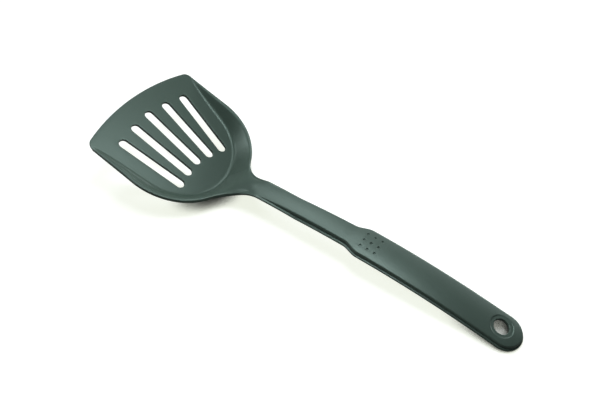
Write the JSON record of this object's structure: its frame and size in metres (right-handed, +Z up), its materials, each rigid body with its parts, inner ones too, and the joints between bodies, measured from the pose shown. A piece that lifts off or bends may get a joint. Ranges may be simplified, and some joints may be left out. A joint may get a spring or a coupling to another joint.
{
  "type": "slotted turner",
  "caption": "Moulded slotted kitchen turner with a scooped blade, a ramped neck, an arched handle with a dimpled thumb rest and a hanging hole.",
  "frame": {"origin": "bottom centre of the turner's box as it lies on a table on its heel and its handle's tip", "axes": "+X along the turner from the blade's front edge to the handle's tip, +Y across the blade, +Z up from the table"},
  "size_m": [0.3302, 0.107, 0.0492],
  "materials": {
    "nylon_blade": "fine matt moulded nylon",
    "nylon_handle": "fine spark-grained moulded nylon"
  },
  "bodies": {
    "root": {"slotted_floor": "nylon_blade", "left_wall": "nylon_blade", "right_wall": "nylon_blade", "heel_ramp": "nylon_blade", "neck": "nylon_handle", "shaft": "nylon_handle", "shoulder": "nylon_handle", "thumb_rest": "nylon_handle", "grip": "nylon_handle", "hanging_end": "nylon_handle"}
  },
  "joints": []
}
